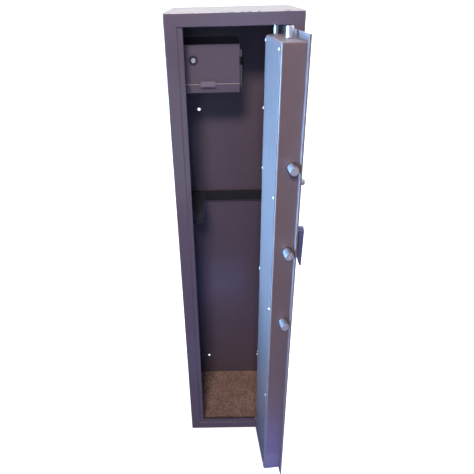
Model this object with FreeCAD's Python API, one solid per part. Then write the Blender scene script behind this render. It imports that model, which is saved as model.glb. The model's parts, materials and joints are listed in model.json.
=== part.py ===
"""Single-door gun safe: folded steel cabinet, hinged door with boltwork, ammunition box and barrel rest.

Millimetres. +Z is up, +X is to the right seen from the front, the front faces -Y.
The origin is the centre of the cabinet's underside.
The door is drawn closed and then turned about its pivot pins to its parked, open angle.
"""
import FreeCAD, Part
import math
import os

V = FreeCAD.Vector

# ---- driving dimensions: cabinet ----
WIDTH = 350.0
DEPTH = 300.0
HEIGHT = 1500.0
SHEET = 2.0
BEND = 3.0                # outside radius of every cabinet fold
FACE = 33.0               # width of the front frame's face
STOP_LIP = 14.0           # how far the door stop reaches into the opening
STOP_SETBACK = 5.0        # from the frame's face to the door stop
STOP_END_X = 105.0        # the bottom stop ends short of the hinge side

FRONT = -DEPTH / 2
BACK = DEPTH / 2
SIDE = WIDTH / 2
INNER_SIDE = SIDE - SHEET
OPENING_X = SIDE - FACE
OPENING_LOW = FACE
OPENING_HIGH = HEIGHT - FACE

FIXING_HOLE_R = 5.0
FIXING_SPACING_X = 216.0
FIXING_SPACING_Z = 1090.0
FIXING_CENTRE_Z = 650.0

CARPET_TOP = 10.0
CARPET_MARGIN = 3.0

# ---- driving dimensions: door ----
DOOR_OPEN_ANGLE = 95.3
PIVOT_X = 106.0
PIVOT_V = 22.0            # depths named V are measured inwards from the door's outer face
PLATE = 4.0
PLATE_GAP = 1.5
PLATE_FREE_X = -OPENING_X + PLATE_GAP
PLATE_HINGE_X = 139.0
RETURN_DEPTH = 12.0
RETURN_THICK = 3.0
HINGE_PIN_R = 6.0
RUNNING_GAP = 0.05

CASING_FREE_X = PLATE_FREE_X + 16.5
CASING_WIDTH = 172.0
CASING_HINGE_X = CASING_FREE_X + CASING_WIDTH
CASING_DEPTH = 58.3
CASING_LOW = 50.0
CASING_HIGH = HEIGHT - 50.0
CASING_FLANGE = 20.0      # how far the casing's folded edges reach in under the rear cover
COVER_THICK = 2.0
COVER_INSET = 3.6         # the rear cover lies on the flanges, just inside their folds

RIVET_HEAD_R = 3.6
RIVET_HEAD_H = 2.4
RIVET_SHANK_R = 2.0
FREE_RIVET_LOW = 64.0
FREE_RIVET_PITCH = 343.0
FREE_RIVET_COUNT = 5
FREE_RIVET_INSET = 13.0
HINGE_RIVET_Z = (110.0, 448.0, 788.0, 1116.0, 1439.0)
HINGE_RIVET_INSET = 7.0

# ---- driving dimensions: boltwork ----
BOLT_V = 22.0
SIDE_BOLT_R = 11.0
SIDE_BOLT_Z = (713.0, 944.0, 1175.0)
SIDE_THROW = 31.0
END_BOLT_R = 9.0
END_THROW = 25.0
ROD_R = 6.0
ROD_X = -40.0
SPINDLE_X = -80.0
SPINDLE_Z = 979.0
SPINDLE_R = 6.0
CAM_V = (26.0, 32.0)
CAM_PIN_R = 4.0
BAR_V = (38.0, 43.0)
BAR_X = (-120.0, -70.0)
LUG_X = (-118.0, -106.0)
LUG_V = (12.0, 38.0)
LOCK_STOP_X = -92.0
LOCK_STOP_V = (9.0, 15.0)
SPIGOT_R = 4.0

LEVER_REACH = 110.0
LEVER_V = (-30.0, -18.0)
LEVER_HUB_R = 12.5
LEVER_TIP_R = 6.5

LOCK_X = -78.0
LOCK_Z = 1118.0
LOCK_BARREL_R = 9.0
LOCK_PLUG_R = 6.0
LOCK_PROUD = 24.0
LOCK_THROW = 12.0

# ---- driving dimensions: ammunition box and barrel rest ----
THIN = 1.5
AMMO_RIGHT_X = 17.5
AMMO_LOW = 1291.0
AMMO_HIGH = 1417.5
AMMO_FACE_Y = -65.0
AMMO_SILL = 25.0
AMMO_DOOR_FREE_X = -145.0  # the door is narrower than its box, so that it swings clear of the cabinet's stile
AMMO_JAMB = 35.0
AMMO_CAM_LENGTH = 42.0
AMMO_PIVOT_X = 21.5
AMMO_PIVOT_Y = -62.5
KNUCKLE_R = 3.5
KNUCKLE_PIN_R = 1.6
KNUCKLE_Z = (1307.0, 1364.0, 1385.0, 1402.0)
TAB_X = (-90.5, -50.0)
TAB_REACH = 12.0
TAB_RISE = 4.5             # from the door's lower edge to the tab's underside
TAB_DROP = 8.0             # from the door's lower edge to the bottom of the tab's bent lip
AMMO_LOCK_X = -108.5
AMMO_LOCK_Z = 1378.0
AMMO_LOCK_R = 9.0
AMMO_PLUG_R = 6.0

REST_TOP = 905.0
REST_HEIGHT = 36.0
REST_STRIP_DEPTH = 16.5
REST_BLOCK_X = -97.0
REST_BLOCK_FRONT = -50.0
REST_NOTCH_R = 11.0


# ---- small shape helpers ----
def block(x, y, z):
    """A box between pairs of coordinates."""
    size = [abs(pair[1] - pair[0]) for pair in (x, y, z)]
    return Part.makeBox(*size, V(min(x), min(y), min(z)))


def rod(radius, start, end):
    """A round bar between two points."""
    run = V(*end) - V(*start)
    return Part.makeCylinder(radius, run.Length, V(*start), run)


def tube(outer, inner, start, end):
    return rod(outer, start, end).cut(rod(inner, start, end))


def depth(v):
    """The Y of a depth measured inwards from the closed door's outer face."""
    return FRONT + v


def depths(pair):
    return depth(pair[0]), depth(pair[1])


def fuse(shapes):
    whole = shapes[0].multiFuse(shapes[1:]) if len(shapes) > 1 else shapes[0]
    return whole.removeSplitter()


def cut_all(shape, tools):
    for tool in tools:
        shape = shape.cut(tool)
    return shape


def round_slot(x, z, width, v):
    """A slot through depths v that runs from one (x, z) end to the other."""
    (x0, x1), (z0, z1) = x, z
    ends = [rod(width / 2, (a, depth(v[0]), c), (a, depth(v[1]), c)) for a, c in ((x0, z0), (x1, z1))]
    if z0 == z1:
        middle = block((x0, x1), depths(v), (z0 - width / 2, z0 + width / 2))
    else:
        middle = block((x0 - width / 2, x0 + width / 2), depths(v), (z0, z1))
    return fuse([middle] + ends)


def straight_edges(shape, keep):
    """The edges whose two ends both pass a test."""
    return [e for e in shape.Edges if all(keep(v.Point) for v in e.Vertexes)]


# ---- cabinet ----
def cabinet_shell():
    outer = block((-SIDE, SIDE), (FRONT, BACK), (0, HEIGHT))
    outer = outer.makeFillet(BEND, outer.Edges)
    inner = block(
        (-INNER_SIDE, INNER_SIDE), (FRONT + SHEET, BACK - SHEET), (SHEET, HEIGHT - SHEET)
    )
    inner = inner.makeFillet(BEND - SHEET, inner.Edges)
    return outer.cut(inner)


def front_frame(shell):
    """The folded front: face, return round the opening, and the door stop on the left and along the bottom."""
    stop_face = FRONT + STOP_SETBACK
    stop_rear = stop_face + SHEET
    opening = block(
        (-OPENING_X, OPENING_X), (FRONT - 1, stop_rear + 1), (OPENING_LOW, OPENING_HIGH)
    )
    face = shell.common(block((-SIDE, SIDE), (FRONT, FRONT + BEND), (0, HEIGHT))).cut(opening)
    ring = block(
        (-OPENING_X - SHEET, OPENING_X),
        (FRONT, stop_rear),
        (OPENING_LOW - SHEET, OPENING_HIGH + SHEET),
    ).cut(opening)
    stop = block((-OPENING_X, STOP_END_X), (stop_face, stop_rear), (OPENING_LOW, OPENING_HIGH))
    stop = stop.cut(
        block(
            (-OPENING_X + STOP_LIP, SIDE),
            (stop_face - 1, stop_rear + 1),
            (OPENING_LOW + STOP_LIP, OPENING_HIGH + 1),
        )
    )
    frame = fuse([face, ring, stop])

    def on_opening_edge(point):
        at_front = abs(point.y - FRONT) < 1e-3
        inside = abs(point.x) < OPENING_X + 0.01 and OPENING_LOW - 0.01 < point.z < OPENING_HIGH + 0.01
        return at_front and inside and point.x < OPENING_X + 0.01

    rounded = [
        e
        for e in straight_edges(frame, on_opening_edge)
        if not all(abs(v.Point.x - OPENING_X) < 1e-3 for v in e.Vertexes)
    ]
    return frame.makeFillet(SHEET - 0.2, rounded)


def frame_members(frame):
    """The front frame split where its welded members meet."""
    stile_x = OPENING_X - STOP_LIP
    every_y = (FRONT - 1, BACK)
    low = (-1, OPENING_LOW + STOP_LIP)
    high = (OPENING_HIGH - 1, HEIGHT + 1)
    return {
        "frame_stile_left": frame.common(block((-SIDE, -stile_x), every_y, (-1, HEIGHT + 1))),
        "frame_stile_right": frame.common(block((OPENING_X, SIDE), every_y, (-1, HEIGHT + 1))),
        "frame_rail_top": frame.common(block((-stile_x, OPENING_X), every_y, high)),
        "frame_rail_bottom": frame.common(block((-stile_x, OPENING_X), every_y, low)),
    }


def cabinet_panels(shell):
    middle_y = (FRONT + BEND, BACK - BEND)
    middle_z = (BEND, HEIGHT - BEND)
    rear = shell.common(block((-SIDE, SIDE), (BACK - BEND, BACK), (0, HEIGHT)))
    for sign_x in (-1, 1):
        for sign_z in (-1, 1):
            x = sign_x * FIXING_SPACING_X / 2
            z = FIXING_CENTRE_Z + sign_z * FIXING_SPACING_Z / 2
            rear = rear.cut(rod(FIXING_HOLE_R, (x, BACK - 10, z), (x, BACK + 10, z)))
    return {
        "rear_panel": rear,
        "side_panel_left": shell.common(block((-SIDE, -SIDE + BEND), middle_y, middle_z)),
        "side_panel_right": shell.common(block((SIDE - BEND, SIDE), middle_y, middle_z)),
        "top_panel": shell.common(block((-SIDE, SIDE), middle_y, (HEIGHT - BEND, HEIGHT))),
        "base_panel": shell.common(block((-SIDE, SIDE), middle_y, (0, BEND))),
    }


def floor_carpet():
    edge = INNER_SIDE - CARPET_MARGIN
    carpet = block((-edge, edge), (FRONT + 10, BACK - SHEET - CARPET_MARGIN), (SHEET, CARPET_TOP))
    return carpet.cut(block((84, SIDE), (FRONT, -106), (0, HEIGHT)))


def hinge_brackets():
    """Fixed blocks inside the cabinet's top and bottom that carry the pivot pins."""
    made = {}
    for name, z in (("hinge_bracket_top", (1472.0, HEIGHT - SHEET)), ("hinge_bracket_bottom", (SHEET, 30.0))):
        body = block((PIVOT_X - 18, PIVOT_X + 18), (depth(7), depth(38)), z)
        body = body.makeChamfer(3, [e for e in body.Edges if e.BoundBox.ZLength > 20])
        made[name] = body.cut(
            rod(HINGE_PIN_R + RUNNING_GAP, (PIVOT_X, depth(PIVOT_V), z[0]), (PIVOT_X, depth(PIVOT_V), z[1]))
        )
    made["hinge_spacer"] = tube(
        10.0, HINGE_PIN_R + RUNNING_GAP, (PIVOT_X, depth(PIVOT_V), 30.0), (PIVOT_X, depth(PIVOT_V), 49.0)
    )
    return made


def barrel_rest():
    rear_face = BACK - SHEET
    foam_low = REST_TOP - REST_HEIGHT
    leg_top = REST_TOP - 3
    strip_front = rear_face - THIN - REST_STRIP_DEPTH
    side_face = -INNER_SIDE + THIN
    strip = block((-INNER_SIDE + 1, INNER_SIDE - 1), (strip_front, rear_face - THIN), (foam_low, REST_TOP))
    pad = block((side_face, REST_BLOCK_X), (REST_BLOCK_FRONT, strip_front), (foam_low, REST_TOP))
    notch_y = REST_BLOCK_FRONT + 14
    notch_x = REST_BLOCK_X + 6
    pad = pad.cut(rod(REST_NOTCH_R, (notch_x, notch_y, foam_low), (notch_x, notch_y, REST_TOP)))
    shelf_z = (foam_low - THIN, foam_low)
    rear_bracket = fuse(
        [
            block((-160, 160), (rear_face - THIN, rear_face), (shelf_z[0], leg_top)),
            block((-160, 160), (strip_front + 3, rear_face), shelf_z),
        ]
    )
    left_bracket = fuse(
        [
            block((-INNER_SIDE, side_face), (REST_BLOCK_FRONT + 4, strip_front), (shelf_z[0], leg_top)),
            block((-INNER_SIDE, REST_BLOCK_X - 8), (REST_BLOCK_FRONT + 4, strip_front), shelf_z),
        ]
    )
    return {
        "barrel_rest_foam_rear": strip,
        "barrel_rest_foam_left": pad,
        "barrel_rest_bracket_rear": rear_bracket,
        "barrel_rest_bracket_left": left_bracket,
    }


# ---- ammunition box ----
def ammo_box():
    left = -INNER_SIDE
    back = BACK - BEND
    jamb_y = (AMMO_FACE_Y + 3, AMMO_FACE_Y + 3 + THIN)
    inner_z = (AMMO_LOW + THIN, AMMO_HIGH - THIN)
    sill = fuse(
        [
            block((left, AMMO_RIGHT_X), (AMMO_FACE_Y, back), (AMMO_LOW, AMMO_LOW + THIN)),
            block((left, AMMO_RIGHT_X), (AMMO_FACE_Y, AMMO_FACE_Y + THIN), (AMMO_LOW, AMMO_LOW + AMMO_SILL)),
        ]
    )
    front_edge = [
        e
        for e in sill.Edges
        if e.BoundBox.XLength > 150 and abs(e.CenterOfMass.y - AMMO_FACE_Y) < 1e-3
        and abs(e.CenterOfMass.z - AMMO_LOW) < 1e-3
    ]
    sill = sill.makeFillet(1.4, front_edge)
    return {
        "ammo_box_base": sill,
        "ammo_box_top": block((left, AMMO_RIGHT_X), (jamb_y[0], back), (AMMO_HIGH - THIN, AMMO_HIGH)),
        "ammo_box_side": block((AMMO_RIGHT_X - THIN, AMMO_RIGHT_X), (jamb_y[0], back), inner_z),
        "ammo_box_jamb": block((left, left + AMMO_JAMB), jamb_y, inner_z),
    }


def knuckle(z0, z1):
    centre = (AMMO_PIVOT_X, AMMO_PIVOT_Y)
    return tube(KNUCKLE_R, KNUCKLE_PIN_R + RUNNING_GAP, (*centre, z0), (*centre, z1))


def ammo_hinge():
    z0, z1, z2, z3 = KNUCKLE_Z
    gap = 0.3
    centre = (AMMO_PIVOT_X, AMMO_PIVOT_Y)
    bore = rod(KNUCKLE_PIN_R + RUNNING_GAP, (*centre, z0), (*centre, z3))
    fixed = []
    for low, high in ((z0, z1 - gap), (z2 + gap, z3)):
        leaf = block((AMMO_RIGHT_X, AMMO_RIGHT_X + 1.2), (AMMO_PIVOT_Y, AMMO_PIVOT_Y + 20), (low, high))
        fixed.append(fuse([knuckle(low, high), leaf]).cut(bore))
    moving = fuse(
        [
            knuckle(z1 + gap, z2 - gap),
            block((AMMO_RIGHT_X - 1, AMMO_PIVOT_X), (AMMO_FACE_Y, AMMO_FACE_Y + THIN), (z1 + gap, z2 - gap)),
        ]
    ).cut(bore)
    pin = rod(KNUCKLE_PIN_R, (*centre, z0 - 1), (*centre, z3 + 1))
    return Part.makeCompound(fixed), moving, pin


def ammo_door():
    """The box's door with its bent pull tab, lock barrel, plug and cam, drawn shut and unlocked."""
    low = AMMO_LOW + AMMO_SILL + 1
    plate = block((AMMO_DOOR_FREE_X, AMMO_RIGHT_X - 1), (AMMO_FACE_Y, AMMO_FACE_Y + THIN), (low, AMMO_HIGH))
    lock_at = (AMMO_LOCK_X, AMMO_LOCK_Z)

    def along(radius, y0, y1):
        return rod(radius, (lock_at[0], y0, lock_at[1]), (lock_at[0], y1, lock_at[1]))

    plate = plate.cut(along(AMMO_LOCK_R, AMMO_FACE_Y - 1, AMMO_FACE_Y + 3))
    tab_out = AMMO_FACE_Y - TAB_REACH
    tab_top = low + TAB_RISE + THIN
    tab = fuse(
        [
            block(TAB_X, (tab_out, AMMO_FACE_Y), (low + TAB_RISE, tab_top)),
            block(TAB_X, (tab_out, tab_out + THIN), (low - TAB_DROP, tab_top)),
        ]
    )
    bend = [
        e
        for e in tab.Edges
        if e.BoundBox.XLength > 30 and abs(e.CenterOfMass.y - tab_out) < 1e-3
        and abs(e.CenterOfMass.z - tab_top) < 1e-3
    ]
    tab = tab.makeFillet(1.4, bend)
    barrel = fuse(
        [
            along(12.5, AMMO_FACE_Y - 2.5, AMMO_FACE_Y),
            along(AMMO_LOCK_R, AMMO_FACE_Y - 2.5, AMMO_FACE_Y + 8),
        ]
    )
    barrel = barrel.makeChamfer(
        1.0,
        [
            e
            for e in barrel.Edges
            if abs(e.CenterOfMass.y - (AMMO_FACE_Y - 2.5)) < 1e-3 and e.BoundBox.XLength > 24
        ],
    )
    barrel = barrel.cut(along(AMMO_PLUG_R + RUNNING_GAP, AMMO_FACE_Y - 3, AMMO_FACE_Y + 9))
    key_slot = block(
        (AMMO_LOCK_X - 4, AMMO_LOCK_X + 4), (AMMO_FACE_Y - 4, AMMO_FACE_Y + 5), (AMMO_LOCK_Z - 0.8, AMMO_LOCK_Z + 0.8)
    )
    plug = along(AMMO_PLUG_R, AMMO_FACE_Y - 3.2, AMMO_FACE_Y + 9).cut(key_slot)
    cam_y = (AMMO_FACE_Y + 9, AMMO_FACE_Y + 11.5)
    cam = fuse(
        [
            rod(8, (AMMO_LOCK_X, cam_y[0], AMMO_LOCK_Z), (AMMO_LOCK_X, cam_y[1], AMMO_LOCK_Z)),
            block((AMMO_LOCK_X - 7, AMMO_LOCK_X + 7), cam_y, (AMMO_LOCK_Z - AMMO_CAM_LENGTH, AMMO_LOCK_Z)),
        ]
    )
    return {
        "ammo_box_door": plate,
        "ammo_pull_tab": tab,
        "ammo_lock_barrel": barrel,
        "ammo_lock_plug": plug,
        "ammo_lock_cam": cam,
    }


# ---- door shell, drawn closed ----
def door_plate():
    plate = block(
        (PLATE_FREE_X, PLATE_HINGE_X),
        (FRONT, depth(PLATE)),
        (OPENING_LOW + PLATE_GAP, OPENING_HIGH - PLATE_GAP),
    )
    outer = [e for e in plate.Edges if abs(e.CenterOfMass.y - FRONT) < 1e-3]
    plate = plate.makeFillet(1.2, outer)
    plate = plate.cut(rod(SPINDLE_R + 1, (SPINDLE_X, depth(-1), SPINDLE_Z), (SPINDLE_X, depth(5), SPINDLE_Z)))
    return plate.cut(rod(LOCK_BARREL_R, (LOCK_X, depth(-1), LOCK_Z), (LOCK_X, depth(5), LOCK_Z)))


def door_hinge_return():
    """The folded edge that stiffens the plate's hinge side."""
    return block(
        (PLATE_HINGE_X - RETURN_THICK, PLATE_HINGE_X),
        (depth(PLATE), depth(PLATE + RETURN_DEPTH)),
        (OPENING_LOW + PLATE_GAP, OPENING_HIGH - PLATE_GAP),
    )


def casing_shell():
    """The folded tray on the back of the door plate, its rear open inside the flanges."""
    outer = block((CASING_FREE_X, CASING_HINGE_X), (depth(PLATE), depth(CASING_DEPTH)), (CASING_LOW, CASING_HIGH))
    outer = outer.makeFillet(BEND, [e for e in outer.Edges if e.CenterOfMass.y > depth(PLATE) + 1])
    inner = block(
        (CASING_FREE_X + SHEET, CASING_HINGE_X - SHEET),
        (depth(PLATE) - 1, depth(CASING_DEPTH - SHEET)),
        (CASING_LOW + SHEET, CASING_HIGH - SHEET),
    )
    window = block(
        (CASING_FREE_X + CASING_FLANGE, CASING_HINGE_X - CASING_FLANGE),
        depths((PLATE, CASING_DEPTH + 1)),
        (CASING_LOW + CASING_FLANGE, CASING_HIGH - CASING_FLANGE),
    )
    return outer.cut(inner).cut(window)


def rivet_places():
    """The rear cover's rivets as (x, z): an even row near the bolts, and a row by the hinge edge."""
    near = [
        (CASING_FREE_X + FREE_RIVET_INSET, FREE_RIVET_LOW + FREE_RIVET_PITCH * i) for i in range(FREE_RIVET_COUNT)
    ]
    return near + [(CASING_HINGE_X - HINGE_RIVET_INSET, z) for z in HINGE_RIVET_Z]


def rivet(x, z):
    """One domed rivet through the cover and the flange under it."""
    base = depth(CASING_DEPTH + COVER_THICK)
    radius = (RIVET_HEAD_R ** 2 + RIVET_HEAD_H ** 2) / (2 * RIVET_HEAD_H)
    ball = Part.makeSphere(radius, V(x, base + RIVET_HEAD_H - radius, z))
    head = ball.common(rod(RIVET_HEAD_R, (x, base, z), (x, base + RIVET_HEAD_H + 1, z)))
    shank = rod(RIVET_SHANK_R, (x, depth(CASING_DEPTH - SHEET), z), (x, base, z))
    return fuse([head, shank])


def casing():
    """The tray's four walls, split at their welded corners, and the cover riveted over them."""
    shell = casing_shell()
    cover_v = (CASING_DEPTH, CASING_DEPTH + COVER_THICK)
    holes = [
        rod(RIVET_SHANK_R, (x, depth(CASING_DEPTH - SHEET - 1), z), (x, depth(cover_v[1] + 1), z))
        for x, z in rivet_places()
    ]
    full_height = (CASING_LOW - 1, CASING_HIGH + 1)
    between = (CASING_FREE_X + CASING_FLANGE, CASING_HINGE_X - CASING_FLANGE)

    def member(x, z):
        return shell.common(block(x, (FRONT, BACK), z))

    wall_free = member((CASING_FREE_X - 1, between[0]), full_height)
    wall_hinge = member((between[1], CASING_HINGE_X + 1), full_height)
    for z in SIDE_BOLT_Z:
        wall_free = wall_free.cut(
            rod(SIDE_BOLT_R + 2, (CASING_FREE_X - 1, depth(BOLT_V), z), (CASING_FREE_X + 3, depth(BOLT_V), z))
        )
    through = rod(END_BOLT_R + 2, (ROD_X, depth(BOLT_V), 0), (ROD_X, depth(BOLT_V), HEIGHT))
    cover = block(
        (CASING_FREE_X + COVER_INSET, CASING_HINGE_X - COVER_INSET),
        depths(cover_v),
        (CASING_LOW + COVER_INSET, CASING_HIGH - COVER_INSET),
    )
    cover = cover.makeFillet(0.6, [e for e in cover.Edges if abs(e.CenterOfMass.y - depth(cover_v[1])) < 1e-3])
    return {
        "casing_wall_bolt_side": cut_all(wall_free, holes),
        "casing_wall_hinge_side": cut_all(wall_hinge, holes),
        "casing_wall_top": member(between, (CASING_HIGH - CASING_FLANGE, CASING_HIGH + 1)).cut(through),
        "casing_wall_bottom": member(between, (CASING_LOW - 1, CASING_LOW + CASING_FLANGE)).cut(through),
        "door_rear_cover": cut_all(cover, holes),
        "cover_rivets": Part.makeCompound([rivet(x, z) for x, z in rivet_places()]),
    }


def door_hinges():
    """Blocks on the door plate and the pivot pins pressed into them."""
    at = (PIVOT_X, depth(PIVOT_V))
    blocks = []
    pins = []
    for block_z, pin_z in (((1424.0, 1445.0), (1424.0, 1488.0)), ((49.0, 70.0), (8.0, 70.0))):
        body = block((PIVOT_X - 13, PIVOT_X + 13), (depth(PLATE), depth(PIVOT_V + 13)), block_z)
        body = body.makeChamfer(4, [e for e in body.Edges if e.BoundBox.ZLength > 20 and e.CenterOfMass.y > at[1]])
        blocks.append(body.cut(rod(HINGE_PIN_R, (*at, block_z[0] - 1), (*at, block_z[1] + 1))))
        pin = rod(HINGE_PIN_R, (*at, pin_z[0]), (*at, pin_z[1]))
        pins.append(pin.makeChamfer(1.5, [e for e in pin.Edges if e.BoundBox.XLength > 5]))
    return {"hinge_blocks": Part.makeCompound(blocks), "hinge_pins": Part.makeCompound(pins)}


# ---- boltwork, drawn closed with the bolts thrown ----
def side_bolt(z):
    """A round bolt with a turned end and a spigot in its lug."""
    tip = CASING_FREE_X - SIDE_THROW
    axis = (depth(BOLT_V), z)
    body = rod(SIDE_BOLT_R, (tip, *axis), (LUG_X[0], *axis))
    body = body.makeFillet(1.5, [e for e in body.Edges if abs(e.CenterOfMass.x - tip) < 1e-3 and e.BoundBox.ZLength > 5])
    body = fuse([body, rod(SPIGOT_R, (LUG_X[0], *axis), (LUG_X[1], *axis))])
    return body.cut(rod(2.5, (tip - 1, *axis), (tip + 2.5, *axis)))


def bolt_bar():
    """A flat bar slotted for the cam's pin, and the lugs welded to it: one for each side bolt.

    The top lug carries the stop that the lock bolt rises beside.
    """
    bar = block(BAR_X, depths(BAR_V), (SIDE_BOLT_Z[0] - 20, SIDE_BOLT_Z[-1] + 20))
    reach = SIDE_THROW / (2 * math.sin(math.radians(45)))
    slot_x = SPINDLE_X - SIDE_THROW / 2
    slot_z = (SPINDLE_Z - reach - 1, SPINDLE_Z - SIDE_THROW / 2 + 1)
    bar = bar.cut(round_slot((slot_x, slot_x), slot_z, 2 * CAM_PIN_R + 2, (BAR_V[0] - 1, BAR_V[1] + 1)))
    lugs = []
    for z in SIDE_BOLT_Z:
        lug = block(LUG_X, depths(LUG_V), (z - 12, z + 12))
        if z == SIDE_BOLT_Z[-1]:
            lug = fuse([lug, block((LUG_X[0], LOCK_STOP_X), depths(LOCK_STOP_V), (z - 12, z))])
        lugs.append(lug.cut(rod(SPIGOT_R, (LUG_X[0] - 1, depth(BOLT_V), z), (LUG_X[1] + 1, depth(BOLT_V), z))))
    return {"bolt_bar": bar, "bolt_lugs": Part.makeCompound(lugs)}


def drive_cam():
    """Three arms on the spindle: one pin works the bar, the other two work the rods."""
    half = math.sin(math.radians(45))
    bar_reach = SIDE_THROW / (2 * half)
    rod_reach = END_THROW / (2 * half)
    cam_y = depths(CAM_V)
    centre = V(SPINDLE_X, 0, SPINDLE_Z)
    shape = rod(12, (SPINDLE_X, cam_y[0], SPINDLE_Z), (SPINDLE_X, cam_y[1], SPINDLE_Z))
    for angle, reach, pin_v in (
        (225, bar_reach, (CAM_V[1], BAR_V[1] + 1)),
        (135, rod_reach, (15.0, CAM_V[0])),
        (315, rod_reach, (20.8, CAM_V[0])),
    ):
        arm = block(
            (SPINDLE_X, SPINDLE_X + reach), cam_y, (SPINDLE_Z - CAM_PIN_R - 2, SPINDLE_Z + CAM_PIN_R + 2)
        )
        arm.rotate(centre, V(0, -1, 0), angle)
        x = SPINDLE_X + reach * math.cos(math.radians(angle))
        z = SPINDLE_Z + reach * math.sin(math.radians(angle))
        boss = rod(CAM_PIN_R + 2, (x, cam_y[0], z), (x, cam_y[1], z))
        pin = rod(CAM_PIN_R, (x, depth(pin_v[0]), z), (x, depth(pin_v[1]), z))
        shape = fuse([shape, arm, boss, pin])
    return shape.cut(rod(SPINDLE_R, (SPINDLE_X, cam_y[0] - 1, SPINDLE_Z), (SPINDLE_X, cam_y[1] + 1, SPINDLE_Z)))


def end_rods():
    """The rods to the top and bottom bolts, with their slotted feet on the cam's pins."""
    half_throw = END_THROW / 2
    far = END_THROW / (2 * math.sin(math.radians(45)))
    slot_width = 2 * CAM_PIN_R + 1.6
    top_v = (17.0, 20.0)
    low_v = (21.5, 24.5)
    axis = (ROD_X, depth(BOLT_V))
    web_low = SPINDLE_Z + 39
    leg = block((SPINDLE_X - 24, SPINDLE_X - 8), depths(top_v), (SPINDLE_Z + 3, web_low + 10))
    web = block((SPINDLE_X - 24, ROD_X + ROD_R), depths(top_v), (web_low, web_low + 10))
    heel = block((ROD_X - ROD_R, ROD_X + ROD_R), depths(top_v), (web_low, web_low + 27))
    top_foot = fuse([leg, web, heel]).cut(
        round_slot(
            (SPINDLE_X - far - 1, SPINDLE_X - half_throw + 1), (SPINDLE_Z + half_throw,) * 2, slot_width, (16, 21)
        )
    )
    top_rod = fuse([top_foot, rod(ROD_R, (*axis, web_low + 18), (*axis, 1420.0))])
    low_foot = block(
        (SPINDLE_X + 8, ROD_X + ROD_R), depths(low_v), (SPINDLE_Z - half_throw - 9, SPINDLE_Z - half_throw + 9)
    ).cut(
        round_slot(
            (SPINDLE_X + half_throw - 1, SPINDLE_X + far + 1), (SPINDLE_Z - half_throw,) * 2, slot_width, (21, 25)
        )
    )
    low_rod = fuse([low_foot, rod(ROD_R, (*axis, 78.0), (*axis, SPINDLE_Z - half_throw - 9))])

    def end_bolt(root, tip):
        bolt = rod(END_BOLT_R, (*axis, root), (*axis, tip))
        return bolt.makeChamfer(2.0, [e for e in bolt.Edges if abs(e.CenterOfMass.z - tip) < 1e-3 and e.BoundBox.XLength > 5])

    return {
        "top_rod": top_rod,
        "bottom_rod": low_rod,
        "top_bolt": end_bolt(1420.0, CASING_HIGH + END_THROW),
        "bottom_bolt": end_bolt(78.0, CASING_LOW - END_THROW),
    }


def boltwork_guides():
    """Bushes in the casing, straps over the bar and guides for the rods, all fixed to the door."""
    bushes = []
    for z in SIDE_BOLT_Z:
        at = (depth(BOLT_V), z)
        bushes.append(
            tube(SIDE_BOLT_R + 2, SIDE_BOLT_R + RUNNING_GAP, (CASING_FREE_X - 0.6, *at), (CASING_FREE_X + 4, *at))
        )
    end_bushes = []
    for z in ((CASING_HIGH - 6, CASING_HIGH + 0.6), (CASING_LOW - 0.6, CASING_LOW + 6)):
        at = (ROD_X, depth(BOLT_V))
        end_bushes.append(tube(END_BOLT_R + 2, END_BOLT_R + RUNNING_GAP, (*at, z[0]), (*at, z[1])))
    guides = []
    for z in (150.0, 560.0, 1340.0):
        guide = block((ROD_X - 12, ROD_X + 12), (depth(PLATE), depth(BOLT_V + 12)), (z - 8, z + 8))
        guides.append(
            guide.cut(
                rod(ROD_R + RUNNING_GAP, (ROD_X, depth(BOLT_V), z - 9), (ROD_X, depth(BOLT_V), z + 9))
            )
        )
    straps = []
    strap_v = (BAR_V[1] + 0.4, BAR_V[1] + 3.4)
    for z in (830.0, 1060.0):
        straps.append(
            fuse(
                [
                    block((CASING_FREE_X + SHEET, -26), depths(strap_v), (z - 10, z + 10)),
                    block((-29, -26), (depth(PLATE), depth(strap_v[1])), (z - 10, z + 10)),
                ]
            )
        )
    return {
        "side_bolt_bushes": Part.makeCompound(bushes),
        "end_bolt_bushes": Part.makeCompound(end_bushes),
        "rod_guides": Part.makeCompound(guides),
        "bar_straps": Part.makeCompound(straps),
    }


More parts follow.
